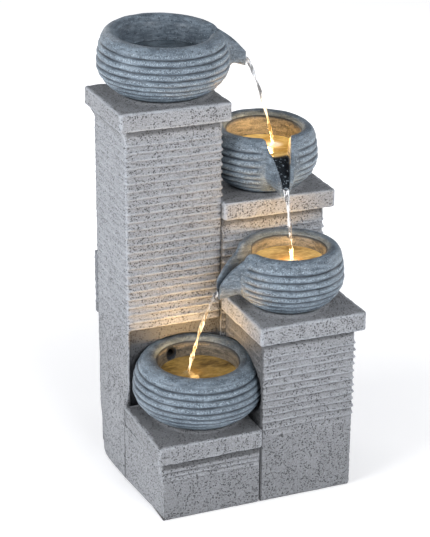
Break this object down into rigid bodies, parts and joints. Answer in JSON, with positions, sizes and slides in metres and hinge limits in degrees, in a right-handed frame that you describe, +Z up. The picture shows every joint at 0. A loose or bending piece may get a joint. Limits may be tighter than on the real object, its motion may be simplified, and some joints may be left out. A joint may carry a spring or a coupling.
{
  "type": "tabletop water fountain",
  "caption": "Cascading tabletop fountain: cast stone columns of falling height, each with a ribbed bowl whose spout feeds the next, pump and lights inside.",
  "frame": {"origin": "middle of the underside of the whole object’s box", "axes": "+X right along the front, +Y to the back, +Z up; the spout of the second bowl points to the front"},
  "size_m": [0.2624, 0.2508, 0.5209],
  "materials": {
    "cast_stone": "cast stone, porous, matt",
    "bowl_stone": "blue-grey washed cast stone, dull sheen",
    "black_rubber": "matt",
    "lead_sheath": "satin sheath",
    "steel": "stainless",
    "black_plastic": "moulded, fine texture",
    "grey_plastic": "moulded",
    "magnet": "ferrite and moulded impeller",
    "ceramic": "ground ceramic",
    "hose_vinyl": "soft vinyl",
    "brass": "turned",
    "lens": "frosted warm lens"
  },
  "bodies": {
    "root": {"column_tall": "cast_stone", "column_second": "cast_stone", "column_third": "cast_stone", "column_low": "cast_stone", "cap_tall": "cast_stone", "cap_second": "cast_stone", "cap_third": "cast_stone", "cap_low": "cast_stone", "bowl_top": "bowl_stone", "bowl_second": "bowl_stone", "bowl_third": "bowl_stone", "bowl_bottom": "bowl_stone", "cable_gland": "black_plastic", "gland_nut": "black_plastic", "return_tube": "black_rubber", "pump_housing": "black_plastic", "pump_shaft": "ceramic", "pump_bush_rear": "black_rubber", "volute_cover": "grey_plastic", "pump_bush_front": "black_rubber", "intake_grille": "black_plastic", "outlet_nozzle": "black_plastic", "suction_cup_1": "black_rubber", "suction_cup_2": "black_rubber", "suction_cup_3": "black_rubber", "suction_cup_4": "black_rubber", "riser_hose": "hose_vinyl", "hose_clamp": "steel", "inlet_fitting": "brass", "inlet_seal": "black_rubber", "inlet_nut": "brass", "led_housing_second": "black_plastic", "led_seal_second": "black_rubber", "led_lens_second": "lens", "led_housing_third": "black_plastic", "led_seal_third": "black_rubber", "led_lens_third": "lens", "led_housing_bottom": "black_plastic", "led_seal_bottom": "black_rubber", "led_lens_bottom": "lens", "junction_box": "grey_plastic", "junction_lid": "grey_plastic", "led_lead_second": "lead_sheath", "led_lead_third": "lead_sheath", "led_lead_bottom": "lead_sheath", "pump_lead": "lead_sheath", "supply_lead": "lead_sheath", "lead_grommet_second": "black_rubber", "lead_grommet_third_upper": "black_rubber", "lead_grommet_third_lower": "black_rubber", "lead_grommet_low": "black_rubber"},
    "rear_door": {"rear_door": "cast_stone", "door_seal": "black_rubber", "door_screw_1": "steel", "door_screw_2": "steel", "door_screw_3": "steel", "door_screw_4": "steel"},
    "pump_rotor": {"pump_rotor": "magnet"},
    "flow_dial": {"flow_dial": "grey_plastic"}
  },
  "joints": [
    {"name": "door_off", "type": "slide", "parent": "root", "child": "rear_door", "axis": [0, 1, 0], "range_m": [0, 0.06]},
    {"name": "rotor_spin", "type": "hinge", "parent": "root", "child": "pump_rotor", "pos_m": [-0.05594, 0.03645, 0.03335], "axis": [0, 1, 0], "continuous": true},
    {"name": "dial_turn", "type": "hinge", "parent": "root", "child": "flow_dial", "pos_m": [-0.05594, 0.0247, 0.04735], "axis": [0, 1, 0], "range_deg": [0, 90]}
  ]
}
